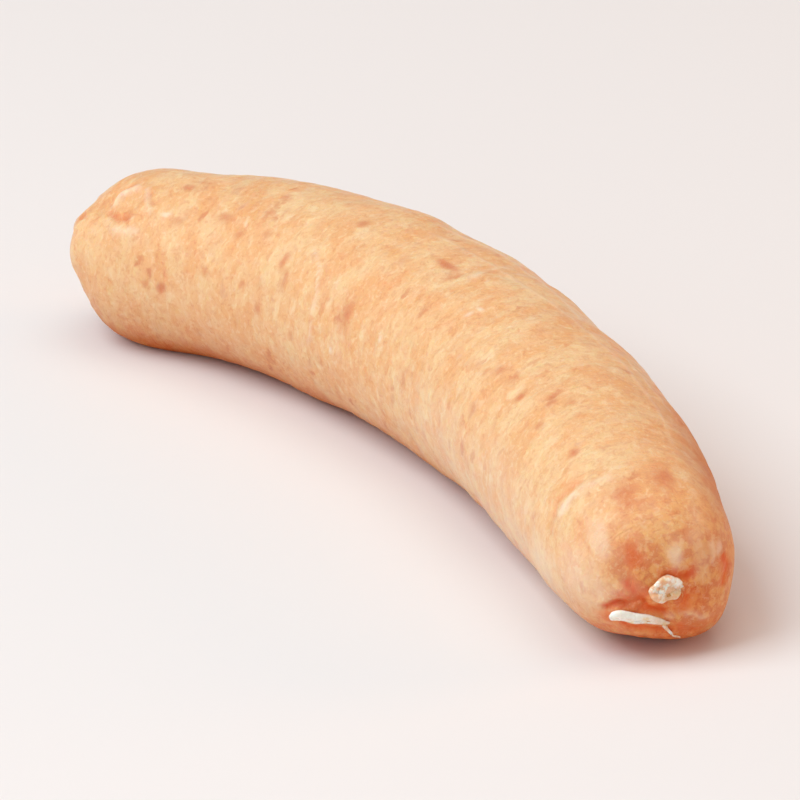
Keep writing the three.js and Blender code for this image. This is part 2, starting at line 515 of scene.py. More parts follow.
# Lines at the near gather, in mm across and up: places, height, width, mask and its strength
NEAR_LINES = (
    (((-8.2, 9.8), (-8.9, 7.9), (-9, 6), (-8.3, 2.9), (-6.6, 0.2)), -0.2, 0.8, "red", 0.14),
    (((-7.4, -1), (-6.2, -0.1), (-5, 0.5), (-3.4, 0.3)), -0.45, 0.7, "red", 1),
    (((-2.9, 0.9), (-1.4, 0.5), (0.3, -0.3), (1.2, -0.9), (2.6, -1.3)), -0.5, 0.8, "red", 1),
    (((-6.6, -1.6), (-4, -2.6), (-1, -3.7), (1.6, -4), (3.8, -3.6)), -0.35, 0.8, "red", 0.9),
    (((-4.6, 4.1), (-2.8, 2.4), (-1.4, 0.6)), -0.32, 0.7, "red", 1),
    (((-5.9, 2.6), (-4.2, 1.5), (-2.6, 0.9)), -0.2, 0.6, "red", 0.7),
    (((0.2, 4.9), (2.4, 4.8), (4.2, 4.4), (6.4, 4.5)), -0.32, 0.6, "red", 0.85),
    (((4.9, 1.2), (4.1, 0), (2.6, -0.7)), -0.3, 0.7, "red", 1),
    (((-0.6, 3.6), (-1.6, 2.2), (-1.8, 1.2)), -0.24, 0.5, "red", 0.8),
    (((6.2, 0.9), (5.6, -0.2), (5.6, 2.4)), -0.22, 0.6, "red", 0.5),
    (((1.8, -2), (2.9, -1.5), (4.6, -1.7), (6.5, -2.3), (8.8, -3.7)), 0.22, 0.35, "pale", 0.4),
    (((8, 7), (8.5, 5.2), (8.4, 3.6)), 0.16, 0.4, "pale", 0.5),
    (((9.9, 4.4), (10.5, 2.2), (10.2, 0)), -0.2, 0.55, "red", 0.75),
    (((-1.6, -4.4), (-1, -6), (-0.8, -7.4)), -0.2, 0.5, "red", 0.4),
    (((-5.4, -3.6), (-6.6, -5)), -0.18, 0.5, "red", 0.4),
    (((4.6, -4.4), (6.6, -5.4)), -0.22, 0.5, "red", 0.5),
    # A flat red band low on the near end, darker towards the floor: painted shade
    (((-9.5, -4.6), (-6.5, -7.4), (-3, -9), (1, -9.8), (5, -9.4), (9, -7.4)),
     0, 1.7, "red", 0.62),
)
# Spots there: place, size, height, mask and its strength
NEAR_SPOTS = (
    ((-7, 7.7), (1.4, 2), 0.12, "pale", 0.5),
    ((-2.5, 7.1), (1.5, 1.9), -0.12, "red", 0.58),
    ((3.1, 6.9), (1, 1.5), 0.16, "pale", 0.6),
    ((6.2, 8.5), (1.9, 1.6), 0.1, "pale", 0.22),
    ((7.2, 5.2), (1.6, 2.4), 0.08, "pale", 0.2),
    ((1.7, 2.6), (2.6, 2), -0.2, "red", 0.35),
    ((9.4, 5.4), (0.6, 0.7), 0.12, "pale", 0.6),
    ((-0.8, -0.2), (4.8, 1.3), -0.25, "red", 0.55),
    ((-6, -2), (2.2, 1.4), -0.1, "red", 0.55),
    ((1.4, -3.8), (3.6, 1.1), -0.1, "red", 0.55),
    ((5.4, 0.6), (1.6, 2.2), 0, "red", 0.3),
    # A broad flat red patch low on the near end: painted shade
    ((0.5, -6), (6.4, 2.2), 0, "red", 0.42),
)
# Lines at the far gather
FAR_LINES = (
    (((-1.5, 1.8), (-3.5, 3), (-6, 3.4)), -0.32, 0.7, "red", 0.4),
    (((0.2, 2.6), (0.8, 4.6), (2.4, 6.4)), -0.34, 0.7, "red", 0.42),
    (((2.2, 0.9), (4.4, 1.3), (6, 0.6)), -0.3, 0.6, "red", 0.3),
    (((1.6, -1.8), (3, -3.2), (3.2, -5.2)), -0.34, 0.7, "red", 0.4),
    (((-0.6, -2.4), (-1, -4.8), (-2.6, -6.2)), -0.3, 0.6, "red", 0.34),
    (((-2.3, -0.4), (-4.6, -1.2), (-6.4, -1)), -0.34, 0.7, "red", 0.42),
    (((-3.4, 5), (-6.2, 6.6)), 0.18, 0.4, "pale", 0.4),
)
FAR_SPOTS = (
    ((0, 0), (3.4, 3), -0.8, "red", 0.55),
    ((-5, -4), (1.8, 1.5), 0.15, "pale", 0.4),
    ((4.2, 3.6), (1.7, 1.4), 0.12, "pale", 0.35),
    ((-1, -5.6), (3.6, 1.6), 0, "red", 0.22),
)

# Lines in the casing along the body, in mm along and degrees round. The pale colour on a ridge is
# partly doubled casing and partly a painted highlight along it; the red colour in a groove is partly
# painted shade
BODY_LINES = (
    (((53, 128), (56, 133), (58.5, 139), (60.6, 154), (61.2, 168), (60.2, 186)), 0.11, 0.35, "pale", 0.5),
    (((54.6, 128), (57.6, 133), (60.2, 140), (62.3, 154), (62.8, 168)), -0.1, 0.55, None, 0),
    (((149, 131), (148.7, 138), (148.9, 146), (148.5, 154)), 0.17, 0.42, "pale", 0.72),
    (((151, 108), (150.1, 117), (149.3, 126), (148.8, 136)), 0.13, 0.6, "pale", 0.34),
    (((148, 124), (147.4, 133), (147.2, 142), (147, 150), (147.3, 158)), -0.18, 0.55, "red", 0.26),
    (((147.6, 152), (147.9, 160), (149, 167)), -0.12, 0.5, "lean", 0.4),
    (((7.6, 126), (9, 132), (11, 135.5), (13.4, 138)), -0.34, 0.62, "red", 0.42),
    (((7.2, 124), (7.9, 117), (9.4, 109), (11.2, 103)), -0.18, 0.5, "red", 0.3),
    (((8.2, 127), (8.8, 120), (10.4, 112), (12, 106)), 0.3, 0.6, "pale", 0.5),
    (((13.2, 108), (14.4, 116), (16.2, 126), (17.4, 134)), 0.22, 0.5, "pale", 0.4),
    (((14.8, 112), (15.7, 119), (17.2, 126)), -0.22, 0.5, "red", 0.25),
    (((10, 145), (13.2, 146), (16.4, 144)), 0.14, 0.8, "pale", 0.35),
    (((4.4, 206), (3.2, 216), (2.8, 226)), -0.35, 0.6, "red", 0.6),
    (((2.2, 124), (2.8, 136)), -0.25, 0.6, "red", 0.45),
    (((64, 70), (74, 63), (84, 59), (95, 57), (106, 60)), 0.1, 0.42, "pale", 0.46),
    (((111, 57), (120, 52), (133, 46)), 0.1, 0.35, "pale", 0.28),
    (((62, 84), (80, 80), (92, 76), (104, 68), (118, 61), (132, 57), (146, 60)), 0.09, 0.4, "pale", 0.28),
    (((86.4, 102), (85.9, 88), (83.6, 66), (81, 50)), 0.09, 0.35, "pale", 0.4),
    (((88, 98), (87.6, 84), (86, 66)), -0.08, 0.5, None, 0),
    (((33, 88), (35.5, 100), (36.2, 116)), -0.12, 0.6, None, 0),
    (((98, 160), (100, 178), (99, 200)), -0.1, 0.7, None, 0),
    (((118, 150), (121, 166), (120, 186)), -0.09, 0.6, None, 0),
    (((40, 20), (44, -8), (43, -30)), -0.16, 0.6, None, 0),
    (((110, 28), (113, 6), (112, -16)), -0.14, 0.6, None, 0),
    (((72, -5), (84, 2), (97, -2), (108, -10)), 0.1, 0.4, "pale", 0.3),
    (((20, 20), (34, 14), (48, 18), (62, 10)), 0.1, 0.4, "pale", 0.3),
)
# Specks of lean meat and pearls of fat close under the casing. The pearls' white is partly a painted
# glint, and the broad flat pale patches are painted light
BODY_SPOTS = (
    ((23.1, 177), (1, 1), 0.03, "lean", 0.9), ((19.4, 176), (0.8, 0.9), 0.03, "lean", 0.7),
    ((21.2, 107), (1.5, 0.9), 0.03, "lean", 0.7), ((22.5, 99), (1.8, 0.7), 0.03, "lean", 0.6),
    ((23.7, 134), (1, 0.8), 0.02, "lean", 0.6), ((33.5, 161), (1, 0.9), 0.03, "lean", 0.6),
    ((49.9, 142), (0.7, 1.7), 0.03, "lean", 0.7), ((51.8, 152), (0.9, 1.9), 0.03, "lean", 0.8),
    ((46.7, 173), (0.9, 1.1), 0.03, "lean", 0.7), ((70, 154), (1.4, 2.3), 0.04, "lean", 0.7),
    ((58.3, 102), (1.3, 0.9), 0.03, "lean", 0.8), ((32.6, 126), (1.5, 1), 0.02, "lean", 0.6),
    ((36.9, 135), (1, 1), 0.02, "lean", 0.6), ((43, 130), (1, 0.8), 0.02, "lean", 0.5),
    ((79.4, 99), (2.7, 0.8), 0.03, "lean", 1), ((121, 128), (0.8, 1), 0.03, "lean", 0.9),
    ((127.8, 116), (1.3, 1.1), 0.03, "lean", 0.8), ((130.3, 130), (0.8, 1), 0.03, "lean", 0.6),
    ((140.9, 122), (0.9, 0.9), 0.03, "lean", 0.9), ((112.4, 127), (0.9, 1), 0.02, "lean", 0.6),
    ((154.6, 108), (2.6, 2.6), 0, "lean", 0.6), ((152.8, 79), (2.4, 2.4), 0.05, "lean", 0.8),
    ((67.9, 177), (0.55, 0.6), 0.09, "pale", 1), ((80.3, 157), (0.45, 1), 0.07, "pale", 0.8),
    ((96, 110), (1.2, 0.5), 0.12, "pale", 1), ((95, 116), (0.5, 0.8), 0.06, "pale", 0.7),
    ((20.4, 131), (0.8, 0.5), 0.09, "pale", 0.8), ((110.5, 133), (0.5, 0.9), 0.03, "lean", 0.6),
    # Broad flat pale patches: painted light
    ((130, 204), (16, 7), 0, "pale", 0.34), ((146, 190), (7, 5), 0, "pale", 0.36),
    ((156.5, 178), (4.5, 6.5), 0, "pale", 0.45), ((104, 180), (14, 6), 0, "pale", 0.2),
    ((128, 174), (17, 6), 0, "pale", 0.2),
)

# Wrinkles of the casing that run round the sausage: height, spacing along, spacing round
WRINKLES = ((0.11 * MM, 5.0 * MM, 13 * MM), (0.06 * MM, 2.2 * MM, 8 * MM))
DENTS = ((0.15 * MM, 9 * MM), (0.07 * MM, 3.2 * MM))
# Crest of a wrinkle and of a fold for its height, and how steeply it falls away
WRINKLE_CREST, PLEAT_CREST = (0.45, 2), (0.3, 1.6)


def ridges(value, crest, fall):
    return crest - fall * np.abs(value)


def wrinkle_heights(shape, lay):
    wide = shape.middle_diameter / 2
    heights = np.zeros(len(lay.s))
    for k, (height, along, around) in enumerate(WRINKLES):
        value = noise_at(lay.s / along + 17 * k, lay.cos * wide / around, lay.sin * wide / around)
        heights += height * ridges(value, *WRINKLE_CREST)
    for k, (depth, size) in enumerate(DENTS):
        heights += depth * noise_at(lay.s / size + 40 + k, lay.left / size, lay.up / size)
    return heights


def write_attribute(item, name, kind, values):
    layer = item.data.attributes.new(name, kind, "POINT")
    key = "vector" if kind == "FLOAT_VECTOR" else "value"
    layer.data.foreach_set(key, np.ascontiguousarray(values, np.float32).ravel())


WRAP = 360
# Sizes of the noises that make lines waver and shift, in mm
WAVER, SHIFT = 2.6, 2.9


def around_seam(places):
    """The same line one turn further on and one turn back, so that it crosses angle 0."""
    return [[(s, angle + turn) for s, angle in places] for turn in (-WRAP, 0, WRAP)]


def skin_relief(shape, axis, lay):
    """Heights and masks of every fold, crease, speck and pearl."""
    co = lay.co
    relief = Relief(len(co))
    wander = noise_at(*(co.T / (WAVER * MM)))
    stray = [STRAY * noise_at(*(co.T / (SHIFT * MM) + start)) for start in (30, 60)]
    for end, lines, spots in (("near", NEAR_LINES, NEAR_SPOTS), ("far", FAR_LINES, FAR_SPOTS)):
        x, y, out = Gather(shape, axis, end).plane(co)
        front = ramp(out, *FACING)
        relief.heights += pleat_heights(x, y, out)
        x, y = x + stray[0], y + stray[1]
        for places, height, width, mask, strength in lines:
            relief.line(x, y, places, height, width, mask, strength, wander, front)
        for place, size, height, mask, strength in spots:
            relief.spot(x, y, place, size, height, mask, strength, GATHER_WAVER * wander, front)
    round_mm = math.radians(1) * shape.middle_diameter / 2 / MM
    s = lay.s / MM + stray[0]
    for places, height, width, mask, strength in BODY_LINES:
        for turned in around_seam(places):
            flat = [(x, angle * round_mm) for x, angle in turned]
            relief.line(s, lay.angle * round_mm, flat, height, width, mask, strength, wander)
    for (x, angle), size, height, mask, strength in BODY_SPOTS:
        y = ((lay.angle - angle + 180) % WRAP - 180) * round_mm
        relief.spot(s, y, (x, 0), size, height, mask, strength, BODY_WAVER * wander)
    return relief


# Fine folds that run into a gather: height, how many round it, mm between changes, mm it fades over
PLEATS = (0.30 * MM, 2.6, 5.0, (0.8, 2.0, 5.0, 10.5))


def pleat_heights(x, y, out):
    height, count, change, (start, full, fading, end) = PLEATS
    rho = np.hypot(x, y)
    value = noise_at(count * x / np.maximum(rho, 0.1), count * y / np.maximum(rho, 0.1), rho / change)
    reach = ramp(rho, start, full) * (1 - ramp(rho, fading, end)) * ramp(out, *FACING)
    return height * ridges(value, *PLEAT_CREST) * reach


# The darker face of each end, partly the deeper meat where the casing gathers and partly painted
# shade: its middle across and up, its reach and its strength. The near one stops at an edge on its
# left, given as mm up and mm across
NEAR_FACE, FAR_FACE = (2.5, 1.5, 10.0, 1.0), (0, 0, 7.5, 0.6)
FACE_STRETCH = 1.1
FACE_EDGE = ((-4, 0, 3, 9), (-9.5, -6.2, -7.6, -8.4))


def end_faces_meat_and_shade(shape, axis, lay):
    """Where the colour is darker on the faces of both ends: the deeper meat where the casing gathers,
    with painted shade.
    """
    x, y, out = Gather(shape, axis, "near").plane(lay.co)
    across, up, reach, strength = NEAR_FACE
    near = strength * bell(np.hypot((x - across) / FACE_STRETCH, y - up), reach)
    near *= ramp(x - np.interp(y, *FACE_EDGE), -1, 1) * ramp(out, -2, 4)
    x, y, out = Gather(shape, axis, "far").plane(lay.co)
    across, up, reach, strength = FAR_FACE
    return np.maximum(near, strength * bell(np.hypot(x - across, y - up), reach) * ramp(out, *FACING))


# Bands of painted shade low down, a deeper orange: strength, and the heights in mm where it is full
# and gone
PAINTED_LOW_SHADE_BANDS = ((0.42, 2, 12), (0.54, 0.5, 6.5))
# How much less painted shade the low side takes on the hollow of the bend, which faces the key
# light, from mm along to mm along
LIT_HOLLOW_LESS_SHADE = (0.6, (110, 138), (153, 159))
# Painted shade and orange bounce light on the flank on the back of the bend: strength, where along
# it starts and fades, and how far round
PAINTED_FLANK_BOUNCE = (0.72, (108, 142), (150, 158), (0.40, 0.95))


def painted_low_shade_and_flank_bounce(lay):
    """Painted shade in deep orange: low down, and on the flank next to the near end, where it also
    stands for orange bounce light.
    """
    s = lay.s / MM
    low = sum(strength * (1 - ramp(lay.co[:, 2] / MM, full, gone)) for strength, full, gone in PAINTED_LOW_SHADE_BANDS)
    paler, start, stop = LIT_HOLLOW_LESS_SHADE
    low *= 1 - paler * ramp(s, *start) * (1 - ramp(s, *stop)) * ramp(-lay.cos, 0.1, 0.7)
    strength, start, fade, around = PAINTED_FLANK_BOUNCE
    flank = strength * ramp(s, *start) * (1 - 0.5 * ramp(s, *fade)) * ramp(lay.cos, *around)
    return np.maximum(low, flank)


# The near end's skin is stretched smooth: how much, from mm along to mm along
STRETCHED = (0.5, 148, 156)
AXES = {}


class SAUSAGE_OT_skin(bpy.types.Operator):
    """Models the skin of the sausage around the solid"""
    bl_idname = "sausage.skin"
    bl_label = "Sausage skin"

    def execute(self, context):
        shape, looks = context.scene.sausage_shape, context.scene.sausage_looks
        axis = Axis(shape)
        skin = lay_rings(shape, axis)
        subdivide(skin, SKIN_LEVELS)
        skin.name = skin.data.name = "skin"
        flatten_belly(skin)
        shift = middle_of_volume(frame["nodes"][CAD_NODE].data) - middle_of_volume(skin.data)
        shift.z = 0
        axis.move(shift)
        activate(skin)
        bpy.ops.transform.translate(value=shift)
        bpy.ops.object.transform_apply(location=True, rotation=False, scale=False)
        AXES["sausage"] = axis

        lay = Lay(axis, skin)
        carve(skin, lump_heights(shape, lay) + swell_heights(lay))
        lay = Lay(axis, skin)
        relief = skin_relief(shape, axis, lay)
        carve(skin, relief.heights)
        lay = Lay(axis, skin)
        off_floor = ramp(lay.co[:, 2], 0, 2 * MM)
        share, start, full = STRETCHED
        calm = 1 - share * ramp(lay.s / MM, start, full)
        carve(skin, wrinkle_heights(shape, lay) * calm * off_floor)
        flatten_belly(skin)

        lay = Lay(axis, skin)
        write_attribute(skin, "lay", "FLOAT_VECTOR", np.stack([lay.s, lay.left, lay.up], 1) / MM)
        write_attribute(skin, "ends", "FLOAT", end_faces_meat_and_shade(shape, axis, lay))
        write_attribute(skin, "under", "FLOAT", painted_low_shade_and_flank_bounce(lay))
        for name, values in relief.masks.items():
            write_attribute(skin, name, "FLOAT", values)
        activate(skin)
        bpy.ops.object.shade_smooth()
        skin.data.materials.append(skin_material(looks))
        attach(skin, "root")
        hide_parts(CAD_NODE)
        return {"FINISHED"}


# -------- materials

class Nodes:
    """Adds nodes to a tree and joins them, so that a material reads from top to bottom."""

    def __init__(self, tree):
        self.tree = tree

    def feed(self, node, inputs):
        for key, value in inputs.items():
            if isinstance(value, bpy.types.NodeSocket):
                self.tree.links.new(value, node.inputs[key])
            else:
                node.inputs[key].default_value = value
        return node

    def add(self, kind, inputs=None, **settings):
        node = self.tree.nodes.new("ShaderNode" + kind)
        for key, value in settings.items():
            setattr(node, key, value)
        return self.feed(node, inputs or {})

    def math(self, operation, *values):
        return self.add("Math", dict(enumerate(values)), operation=operation).outputs[0]

    def scale(self, vector, factors):
        return self.add("VectorMath", {0: vector, 1: factors}, operation="MULTIPLY").outputs[0]

    def shift(self, vector, amounts):
        return self.add("VectorMath", {0: vector, 1: amounts}, operation="ADD").outputs[0]

    def noise(self, vector, scale, detail=3, roughness=0.55, distortion=0):
        inputs = {"Vector": vector, "Scale": scale, "Detail": detail, "Roughness": roughness,
                  "Distortion": distortion}
        return self.add("TexNoise", inputs).outputs[0]

    def span(self, value, low, high, to_low=0, to_high=1):
        inputs = {"Value": value, "From Min": low, "From Max": high, "To Min": to_low, "To Max": to_high}
        return self.add("MapRange", inputs, interpolation_type="SMOOTHSTEP").outputs[0]

    def blend(self, factor, first, second, mode="MIX"):
        node = self.add("Mix", {0: factor}, data_type="RGBA", blend_type=mode)
        return self.feed(node, {6: first, 7: second}).outputs[2]

    def tint(self, factor, first, colour, mode="MIX"):
        """Lays a plain colour over another one, as far as the factor says."""
        return self.blend(factor, first, (*colour, 1), mode)

    def group(self, tree, place):
        return self.feed(self.add("Group", node_tree=tree), {"Place": place}).outputs


def new_group(name, outputs):
    """A shader node group that turns a place into values: itself, its nodes, the place, its finish."""
    tree = bpy.data.node_groups.new(name, "ShaderNodeTree")
    tree.interface.new_socket(name="Place", in_out="INPUT", socket_type="NodeSocketVector")
    for label in outputs:
        tree.interface.new_socket(name=label, in_out="OUTPUT", socket_type="NodeSocketFloat")
    end = tree.nodes.new("NodeGroupOutput")

    def finish(*values):
        for socket, value in zip(end.inputs, values):
            tree.links.new(value, socket)

    return tree, Nodes(tree), tree.nodes.new("NodeGroupInput").outputs[0], finish


def meat_group():
    """Grains of lean and fat in minced meat, and the streaks between. Place is in millimetres."""
    tree, n, place, finish = new_group("minced_meat", ("Patches", "Streaks", "Grain", "Lean", "Fat"))
    loose = place
    for scale, reach in ((0.42, 3), (1.5, 1.1)):
        wave = n.add("TexNoise", {"Vector": place, "Scale": scale, "Detail": 2}).outputs["Color"]
        loose = n.shift(loose, n.scale(n.shift(wave, (-0.5,) * 3), (reach,) * 3))
    patches = n.noise(n.scale(loose, (0.2, 0.13, 0.13)), 1, detail=4, roughness=0.6)
    streaks = n.noise(n.scale(loose, (0.76, 0.4, 0.4)), 1, detail=4, roughness=0.65)
    grain = n.noise(n.shift(loose, (3, 7, 11)), 1.1, detail=2)
    lean, fat = [], []
    for start, factors, share, size in (((0, 0, 0), (0.5, 0.34, 0.34), 0.8, 0.5),
                                        ((40, 9, 5), (0.3, 0.22, 0.22), 0.8, 0.46)):
        vector = n.scale(n.shift(loose, start), factors)
        cells = n.add("TexVoronoi", {"Vector": vector, "Scale": 1, "Randomness": 1})
        chance = n.add("SeparateColor", {0: cells.outputs["Color"]}).outputs
        body = n.span(cells.outputs["Distance"], size, size * 0.15)
        lean.append(n.math("MULTIPLY", n.span(chance[0], share, share + 0.16), body))
        fat.append(n.math("MULTIPLY", n.span(chance[1], share - 0.06, share + 0.1), body))
    finish(patches, streaks, grain, n.math("MAXIMUM", *lean), n.math("MAXIMUM", *fat))
    return tree


def casing_group():
    """Fine wrinkles of a wet casing. Place is in millimetres."""
    tree, n, place, finish = new_group("casing_wrinkles", ("Height", "Wet"))
    rings = n.noise(n.scale(place, (1.5, 0.22, 0.22)), 1, detail=4, roughness=0.62, distortion=0.3)
    ridged = n.math("ABSOLUTE", n.math("SUBTRACT", rings, 0.5))
    lumps = n.noise(place, 0.55, roughness=0.6)
    grain = n.noise(place, 2.6, detail=2, roughness=0.6)
    height = n.math("MULTIPLY_ADD", lumps, 1.2, n.math("MULTIPLY", grain, 0.22))
    height = n.math("MULTIPLY_ADD", ridged, -1.5, height)
    finish(height, n.noise(n.shift(place, (5, 9, 2)), 0.28, roughness=0.6))
    return tree


def new_material(name):
    material = bpy.data.materials.new(name)
    material.use_nodes = True
    material.node_tree.nodes.clear()
    return material, Nodes(material.node_tree)


def finish_material(n, shader):
    output = n.add("OutputMaterial")
    n.tree.links.new(shader.outputs[0], output.inputs[0])


def skin_material(looks):
    """Minced raw meat seen through a thin wet casing."""
    material, n = new_material("raw_meat_in_casing")
    place = n.add("Attribute", attribute_name="lay").outputs["Vector"]
    masks = {name: n.add("Attribute", attribute_name=name).outputs["Fac"]
             for name in ("ends", "under", "red", "pale", "lean")}
    meat, casing = n.group(meat_group(), place), n.group(casing_group(), place)
    colour = (*looks.meat, 1)
    for pattern, start, full, share, tint in (
            ("Patches", 0.36, 0.66, 1, looks.pale),
            ("Streaks", 0.52, 0.3, 0.4, looks.rosy),
            ("Streaks", 0.54, 0.76, 0.55, looks.fat),
            ("Grain", 0.46, 0.32, 0.22, looks.lean),
            ("Grain", 0.54, 0.7, 0.38, looks.fat)):
        colour = n.tint(n.span(meat[pattern], start, full, 0, share), colour, tint)
    for mask, share, tint in ((meat["Fat"], 0.55, looks.fat), (meat["Lean"], 0.5, looks.lean),
                              (masks["lean"], 0.72, looks.lean)):
        colour = n.tint(n.math("MULTIPLY", mask, share), colour, tint)
    # Painted shade low down, and painted shade with orange bounce light on the flank
    colour = n.tint(masks["under"], colour, looks.underside, "MULTIPLY")
    face_place = n.shift(n.scale(place, (0.42,) * 3), (8, 3, 5))
    face = n.span(n.noise(face_place, 1, detail=4, roughness=0.65), 0.42, 0.58)
    face = n.tint(face, (*looks.end_meat_and_shade, 1), looks.end_pale)
    face = n.tint(n.span(meat["Grain"], 0.46, 0.32, 0, 0.45), face, looks.lean)
    face = n.tint(n.span(meat["Grain"], 0.52, 0.66, 0, 0.45), face, looks.pale)
    # The end faces: deeper meat with painted shade
    colour = n.blend(n.math("MULTIPLY", masks["ends"], 0.86), colour, face)
    # Deeper red meat in the gathers, partly painted shade in folds and creases
    colour = n.tint(n.math("MULTIPLY", masks["red"], 0.96), colour, looks.crevice_red_and_shade)
    # Fat and doubled casing, partly painted highlights and glints on ridges and pearls, and broad painted
    # light
    colour = n.tint(n.math("MULTIPLY", masks["pale"], 0.85), colour, looks.film_and_highlight)
    dull = n.math("MAXIMUM", masks["red"], masks["under"])
    coat = n.span(casing["Wet"], 0.35, 0.65, 0.24, 0.05)
    rough = n.span(casing["Wet"], 0.3, 0.7, 0.34, 0.48)
    bump = n.add("Bump", {"Height": casing["Height"], "Distance": 0.2 * MM, "Strength": 1})
    shader = n.add("BsdfPrincipled", {
        "Base Color": colour,
        "Roughness": n.math("MULTIPLY_ADD", masks["under"], 0.3, rough),
        "Coat Weight": n.math("MULTIPLY", coat, n.span(dull, 0.1, 0.8, 1, 0)),
        "Coat Roughness": 0.24,
        "Specular IOR Level": 0.24,
        "Subsurface Weight": 0.5,
        "Subsurface Radius": (1, 0.44, 0.16),
        "Subsurface Scale": 2 * MM,
        "Normal": bump.outputs[0],
    })
    finish_material(n, shader)
    return material


def casing_material(looks, name, meat_share):
    """A bare, wet end of casing, white where it is thick and clear towards its tail."""
    material, n = new_material(name)
    place = n.scale(n.add("TexCoord").outputs["Object"], (1 / MM,) * 3)
    tail = n.add("Attribute", attribute_name="tail").outputs["Fac"]
    patches = n.noise(place, 0.9)
    folds = n.noise(place, 1.9, detail=4, roughness=0.65)
    thin = n.span(patches, 0.4, 0.62, 0, meat_share)
    thin = n.math("MULTIPLY_ADD", n.span(tail, 0.35, 1), 0.65, thin)
    shade = n.span(n.noise(place, 0.8, detail=2), 0.52, 0.36, 0, 0.7)
    colour = n.tint(shade, (*looks.casing, 1), looks.casing_shade)
    colour = n.tint(n.math("MINIMUM", thin, 0.9), colour, looks.clear_casing)
    bump = n.add("Bump", {"Height": folds, "Distance": 0.1 * MM, "Strength": 1})
    shader = n.add("BsdfPrincipled", {
        "Base Color": colour,
        "Roughness": n.span(folds, 0.3, 0.7, 0.16, 0.34),
        "Coat Weight": n.span(folds, 0.3, 0.7, 0.8, 0.4),
        "Coat Roughness": 0.12,
        "Subsurface Weight": 0.4,
        "Subsurface Radius": (1, 0.6, 0.4),
        "Subsurface Scale": 0.8 * MM,
        "Normal": bump.outputs[0],
    })
    finish_material(n, shader)
    return material


def floor_material(colour):
    """Plain pale matt floor."""
    material, n = new_material("pale_floor")
    cloud = n.noise(n.add("TexCoord").outputs["Object"], 6, detail=2)
    shade = n.tint(n.span(cloud, 0.2, 0.8, 0, 0.04), (*colour, 1), srgb(228, 216, 212))
    finish_material(n, n.add("BsdfPrincipled", {"Base Color": shade, "Roughness": 0.75}))
    return material


# -------- the cut ends of the casing

# Each is a rolled-up end of casing: its gather, its place there in mm across and up, its lift off
# the skin, the line it follows and its half widths along it; then how thick it is for its width,
# how far it is crumpled, how long its folds are, and how much meat shows through
CASING_ENDS = {
    "near_flap": (
        "near", (-2.3, -1.4), 0.25,
        ((-4, 0.8), (-2.7, 0.75), (-1.2, 0.25), (0.3, -0.15), (1.9, -0.45), (3.3, -0.8), (4.4, -1)),
        (0.7, 0.98, 1.02, 0.92, 0.72, 0.44, 0.18), 0.5, 0.4, 4, 0.1),
    "near_stub": (
        "near", (1.6, 2.6), 0.18,
        ((2.3, -0.3), (2.1, 0.5), (1, 1.1), (-0.3, 1), (-1.5, 0.6), (-2, -0.3), (-1.1, -1), (0.1, -1.3),
         (1.5, -0.9), (2.2, -0.4)),
        (0.75, 1, 0.65, 0.82, 0.6, 1, 0.72, 0.84, 0.6, 0.55), 0.55, 0.46, 1.6, 0.9),
    "near_stub_core": (
        "near", (1.8, 2.4), 0.1,
        ((-1.3, 0.3), (-0.5, 0.1), (0.4, -0.1), (1.4, 0.1)),
        (0.8, 1.15, 1.2, 0.9), 0.36, 0.3, 1, 1.6),
    "near_curl": (
        "near", (2.4, -4.4), 0.12,
        ((-1.2, 1.6), (-0.6, 0.2), (0.3, -1.2), (1.3, -1.8)),
        (0.36, 0.3, 0.24, 0.16), 0.8, 0.1, 2, 0.8),
    "far_stub": (
        "far", (0.2, 0.4), 0.2,
        ((1.6, -0.9), (1.9, 0.4), (0.8, 1.5), (-0.8, 1.4), (-1.9, 0.4), (-1.5, -0.9), (-0.2, -1.5),
         (1.1, -1.3)),
        (0.7, 1, 0.75, 1, 0.8, 1.05, 0.75, 0.6), 0.55, 0.36, 1.6, 0.6),
    "far_stub_core": (
        "far", (0.1, 0.3), 0.15,
        ((-1, 0.1), (0, -0.1), (1, 0.1)),
        (0.8, 1.15, 0.9), 0.4, 0.3, 1, 1.8),
    "far_flap": (
        "far", (1.2, -3.2), 0.25,
        ((-2.4, 0.4), (-1.2, 0.2), (0.2, -0.1), (1.4, -0.5), (2.6, -1.3)),
        (0.5, 0.85, 0.9, 0.7, 0.2), 0.5, 0.34, 3, 0.2),
}
# Cuts between a tube's points, steps along it and steps round it
TUBE_CUTS, TUBE_STEPS, TUBE_ROUND = 2, 4, 3
# Sizes of the folds, and their share of the height
CRUMPLE_SIZES = ((1.1 * MM, 1), (0.5 * MM, 0.35))
# Where the skin is felt under a piece, in mm from its middle
SEAT_PLACES = ((0, 0), (1.6, 0), (-1.6, 0), (0, 1.2), (0, -1.2))


